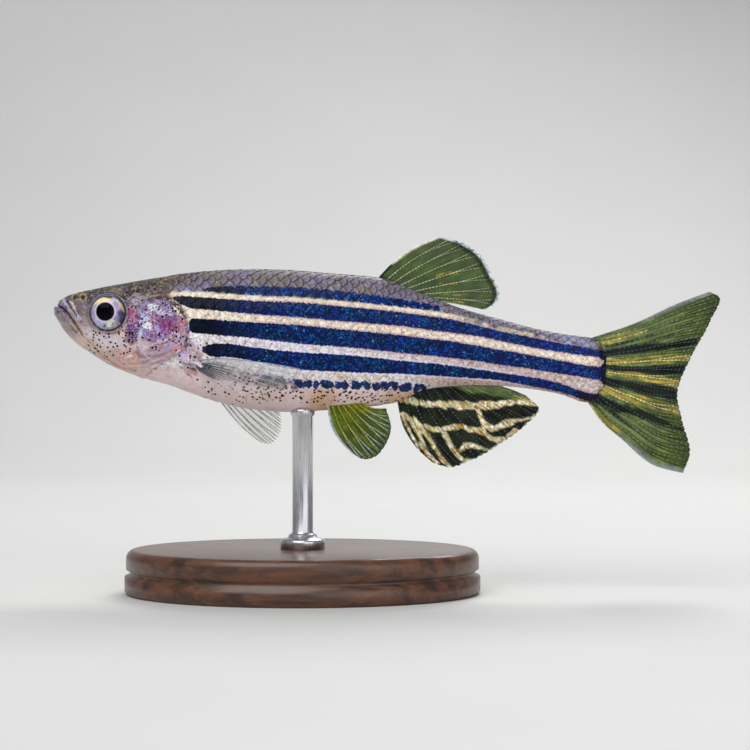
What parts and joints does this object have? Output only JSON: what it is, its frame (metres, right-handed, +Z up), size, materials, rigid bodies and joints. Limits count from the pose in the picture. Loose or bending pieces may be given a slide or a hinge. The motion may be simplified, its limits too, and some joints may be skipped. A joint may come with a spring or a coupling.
{
  "type": "zebra danio model on a display stand",
  "caption": "Life-size still model of a zebra danio, a small striped fish, swimming above an oval stand on one rod.",
  "frame": {"origin": "centre of the whole object's box, at the bottom of the stand's base", "axes": "the fish faces -X with its left side to -Y; +Z is up from the floor the base stands on"},
  "size_m": [0.045, 0.019, 0.0241],
  "materials": {
    "head": "satin skin",
    "lower_jaw": "satin skin",
    "gill_cover_left": "pearly skin",
    "gill_cover_right": "pearly skin",
    "trunk": "satin scales",
    "tail_stem": "satin scales",
    "eye_left": "wet gloss",
    "eye_right": "wet gloss",
    "dorsal_fin": "satin, partly clear",
    "anal_fin": "satin, partly clear",
    "tail_fin": "satin, partly clear",
    "pectoral_fin_left": "satin, nearly clear",
    "pectoral_fin_right": "satin, nearly clear",
    "pelvic_fin_left": "satin, nearly clear",
    "pelvic_fin_right": "satin, nearly clear",
    "stand_base": "satin varnish",
    "stand_rod": "brushed"
  },
  "bodies": {
    "root": {"head": "head", "lower_jaw": "lower_jaw", "gill_cover_left": "gill_cover_left", "gill_cover_right": "gill_cover_right", "trunk": "trunk", "tail_stem": "tail_stem", "eye_left": "eye_left", "eye_right": "eye_right", "dorsal_fin": "dorsal_fin", "anal_fin": "anal_fin", "tail_fin": "tail_fin", "pectoral_fin_left": "pectoral_fin_left", "pectoral_fin_right": "pectoral_fin_right", "pelvic_fin_left": "pelvic_fin_left", "pelvic_fin_right": "pelvic_fin_right", "stand_base": "stand_base", "stand_rod": "stand_rod"}
  },
  "joints": []
}
